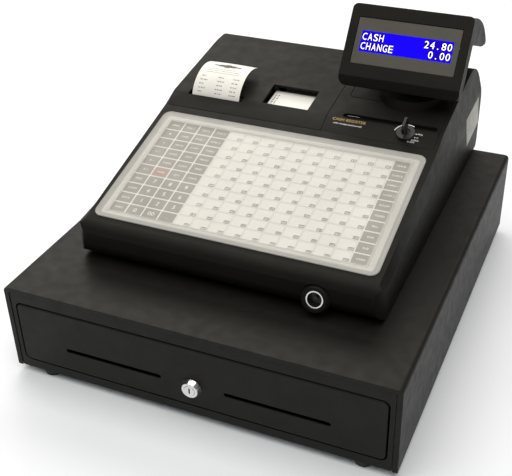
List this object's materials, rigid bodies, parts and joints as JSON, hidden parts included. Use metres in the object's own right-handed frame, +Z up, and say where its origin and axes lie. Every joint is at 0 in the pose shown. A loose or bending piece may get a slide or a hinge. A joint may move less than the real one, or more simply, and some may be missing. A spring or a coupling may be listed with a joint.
{
  "type": "cash register",
  "caption": "Desktop cash register on a steel cash drawer, with a flat covered keyboard, receipt printer and tilting two-sided display.",
  "frame": {"origin": "on the table under the middle of the whole object", "axes": "-Y towards the operator, +X to the operator's right, +Z up"},
  "size_m": [0.41, 0.48, 0.3086],
  "materials": {
    "black_powder_coat": "fine textured satin powder coat",
    "zinc_steel": "zinc plated",
    "chrome": "polished",
    "spring_steel": "oiled spring wire",
    "black_rubber": "matt",
    "case_plastic": "fine spark-eroded texture",
    "till_plastic": "moulded",
    "clip_plastic": "moulded",
    "silicone": "translucent silicone",
    "key_legend_sheet": "printed film",
    "circuit_board": "green laminate",
    "contact_metal": "bright nickel",
    "lock_metal": "black zinc",
    "key_metal": "nickel plated",
    "thermal_head": "ceramic heater on aluminium",
    "paper": "thermal paper",
    "power_unit": "grey steel case",
    "port_plastic": "moulded",
    "lens": "grey display lens",
    "blue_screen": "backlit liquid crystal",
    "customer_screen": "dark filter window"
  },
  "bodies": {
    "housing": {"drawer_cover": "black_powder_coat", "drawer_base": "zinc_steel", "drawer_front_frame": "black_powder_coat", "drawer_rear_panel": "zinc_steel", "outer_rails": "zinc_steel", "latch_solenoid": "spring_steel", "ejector_springs": "spring_steel", "drawer_feet": "black_rubber", "screws": "zinc_steel", "lower_case": "case_plastic", "upper_case": "case_plastic", "lock_panel": "case_plastic", "register_feet": "black_rubber", "keyboard_board": "circuit_board", "key_sheet": "key_legend_sheet", "keyboard_cover": "silicone", "reader_bezel": "case_plastic", "reader_contact": "contact_metal", "mode_lock_body": "lock_metal", "printer_chassis": "zinc_steel", "thermal_heads": "thermal_head", "print_motor": "spring_steel", "paper_webs": "paper", "main_board": "circuit_board", "power_supply": "power_unit", "rear_ports": "port_plastic", "display_base": "case_plastic", "display_yoke": "case_plastic", "display_pin": "chrome"},
    "drawer": {"drawer_tray": "zinc_steel", "drawer_front": "black_powder_coat", "inner_rails": "zinc_steel", "drawer_lock_body": "chrome", "till": "till_plastic", "coin_cups": "till_plastic", "clip_axle": "chrome"},
    "middle_rails": {"middle_rails": "zinc_steel"},
    "drawer_lock": {"drawer_lock_cylinder": "chrome", "drawer_lock_cam": "zinc_steel"},
    "latch": {"latch_lever": "zinc_steel"},
    "printer_cover": {"printer_cover": "case_plastic", "receipt_strip": "paper"},
    "mode_key": {"mode_lock_cylinder": "lock_metal", "mode_key": "key_metal"},
    "receipt_platen": {"receipt_platen": "black_rubber"},
    "journal_platen": {"journal_platen": "black_rubber"},
    "motor_pinion": {"motor_pinion": "clip_plastic"},
    "receipt_roll": {"receipt_roll": "paper"},
    "journal_roll": {"journal_roll": "paper"},
    "take_up_spool": {"take_up_spool": "clip_plastic"},
    "display_head": {"display_bezel": "case_plastic", "display_rear_shell": "case_plastic", "operator_window": "lens", "operator_lcd": "blue_screen", "customer_display": "customer_screen"},
    "bill_clip_1": {"bill_clip_1": "clip_plastic"},
    "bill_clip_2": {"bill_clip_2": "clip_plastic"},
    "bill_clip_3": {"bill_clip_3": "clip_plastic"},
    "bill_clip_4": {"bill_clip_4": "clip_plastic"},
    "bill_clip_5": {"bill_clip_5": "clip_plastic"}
  },
  "joints": [
    {"name": "drawer_slide", "type": "slide", "parent": "housing", "child": "drawer", "axis": [0, -1, 0], "range_m": [0, 0.33]},
    {"name": "middle_rail_slide", "type": "slide", "parent": "housing", "child": "middle_rails", "axis": [0, -1, 0], "range_m": [0, 0.165]},
    {"name": "drawer_lock_turn", "type": "hinge", "parent": "drawer", "child": "drawer_lock", "pos_m": [0, -0.24, 0.043], "axis": [0, -1, 0], "range_deg": [0, 90]},
    {"name": "latch_lever_turn", "type": "hinge", "parent": "housing", "child": "latch", "pos_m": [0, 0.205, 0.062], "axis": [1, 0, 0], "range_deg": [0, 14]},
    {"name": "printer_cover_hinge", "type": "hinge", "parent": "housing", "child": "printer_cover", "pos_m": [0, 0.205, 0.207], "axis": [-1, 0, 0], "range_deg": [0, 60]},
    {"name": "mode_key_turn", "type": "hinge", "parent": "housing", "child": "mode_key", "pos_m": [0.1195, 0.045, 0.20254], "axis": [0, -0.3784, 0.9256], "range_deg": [-90, 60]},
    {"name": "display_tilt", "type": "hinge", "parent": "housing", "child": "display_head", "pos_m": [0.105, 0.136, 0.256], "axis": [1, 0, 0], "range_deg": [-12, 7]},
    {"name": "receipt_feed", "type": "hinge", "parent": "housing", "child": "receipt_platen", "pos_m": [-0.1, 0.0586, 0.19], "axis": [1, 0, 0], "continuous": true},
    {"name": "journal_feed", "type": "hinge", "parent": "housing", "child": "journal_platen", "pos_m": [-0.02, 0.0586, 0.19], "axis": [1, 0, 0], "continuous": true},
    {"name": "motor_spin", "type": "hinge", "parent": "housing", "child": "motor_pinion", "pos_m": [-0.06, 0.07395, 0.18114], "axis": [1, 0, 0], "continuous": true},
    {"name": "receipt_roll_spin", "type": "hinge", "parent": "housing", "child": "receipt_roll", "pos_m": [-0.105, 0.132, 0.162], "axis": [1, 0, 0], "continuous": true},
    {"name": "journal_roll_spin", "type": "hinge", "parent": "housing", "child": "journal_roll", "pos_m": [-0.02, 0.132, 0.162], "axis": [1, 0, 0], "continuous": true},
    {"name": "take_up_spin", "type": "hinge", "parent": "housing", "child": "take_up_spool", "pos_m": [-0.02, 0.092, 0.184], "axis": [1, 0, 0], "continuous": true},
    {"name": "bill_clip_1_lift", "type": "hinge", "parent": "drawer", "child": "bill_clip_1", "pos_m": [-0.14144, 0.14, 0.074], "axis": [-1, 0, 0], "range_deg": [0, 32], "stiffness_Nm_per_rad": 0.03, "springref_deg": -17.19},
    {"name": "bill_clip_2_lift", "type": "hinge", "parent": "drawer", "child": "bill_clip_2", "pos_m": [-0.07072, 0.14, 0.074], "axis": [-1, 0, 0], "range_deg": [0, 32], "stiffness_Nm_per_rad": 0.03, "springref_deg": -17.19},
    {"name": "bill_clip_3_lift", "type": "hinge", "parent": "drawer", "child": "bill_clip_3", "pos_m": [0, 0.14, 0.074], "axis": [-1, 0, 0], "range_deg": [0, 32], "stiffness_Nm_per_rad": 0.03, "springref_deg": -17.19},
    {"name": "bill_clip_4_lift", "type": "hinge", "parent": "drawer", "child": "bill_clip_4", "pos_m": [0.07072, 0.14, 0.074], "axis": [-1, 0, 0], "range_deg": [0, 32], "stiffness_Nm_per_rad": 0.03, "springref_deg": -17.19},
    {"name": "bill_clip_5_lift", "type": "hinge", "parent": "drawer", "child": "bill_clip_5", "pos_m": [0.14144, 0.14, 0.074], "axis": [-1, 0, 0], "range_deg": [0, 32], "stiffness_Nm_per_rad": 0.03, "springref_deg": -17.19}
  ],
  "couplings": [
    {"joint": "middle_rail_slide", "follows": "drawer_slide", "ratio": 0.5},
    {"joint": "motor_spin", "follows": "receipt_feed", "ratio": -2.1429},
    {"joint": "journal_feed", "follows": "receipt_feed", "ratio": 1}
  ]
}
